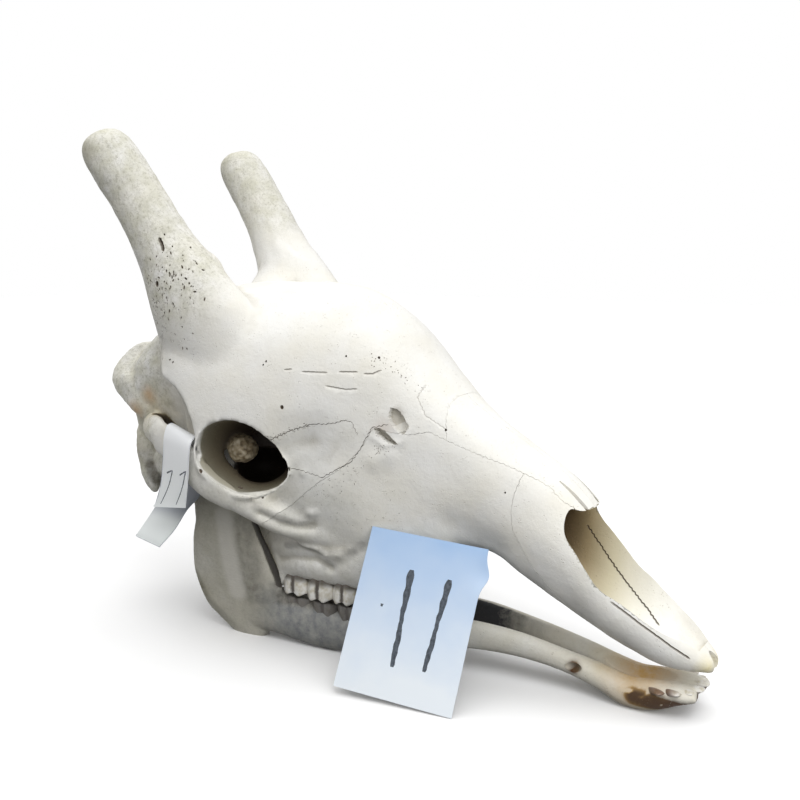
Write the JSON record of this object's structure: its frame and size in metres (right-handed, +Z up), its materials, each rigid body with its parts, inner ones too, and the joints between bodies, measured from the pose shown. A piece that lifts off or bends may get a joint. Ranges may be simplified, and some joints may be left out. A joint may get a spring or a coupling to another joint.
{
  "type": "giraffe skull",
  "caption": "Life-size giraffe skull with two ossicones, toothed jaws and closed lower jaw, resting on its lower jaws, with a leaning card tag and a folded paper tag.",
  "frame": {"origin": "middle of the bounding box on the floor the lower jaws rest on", "axes": "-Y towards the snout, +X to the skull's own left, +Z up"},
  "size_m": [0.259, 0.6252, 0.4946],
  "materials": {
    "bone": "dry cleaned bone, matt and pale cream",
    "horn_bone": "dense porous bone, matt, olive cream",
    "jaw_bone": "dry bone, matt, slightly browner",
    "card": "stiff pale blue card with plain strokes",
    "paper": "white paper, matt"
  },
  "bodies": {
    "root": {"cranium": "bone", "ossicone_right": "horn_bone", "ossicone_left": "horn_bone", "nasal_right": "bone", "nasal_left": "bone", "maxilla_right": "bone", "maxilla_left": "bone", "premaxilla_right": "bone", "premaxilla_left": "bone", "mandible_right": "jaw_bone", "mandible_left": "jaw_bone", "tag_card": "card", "tag_folded": "paper"}
  },
  "joints": []
}
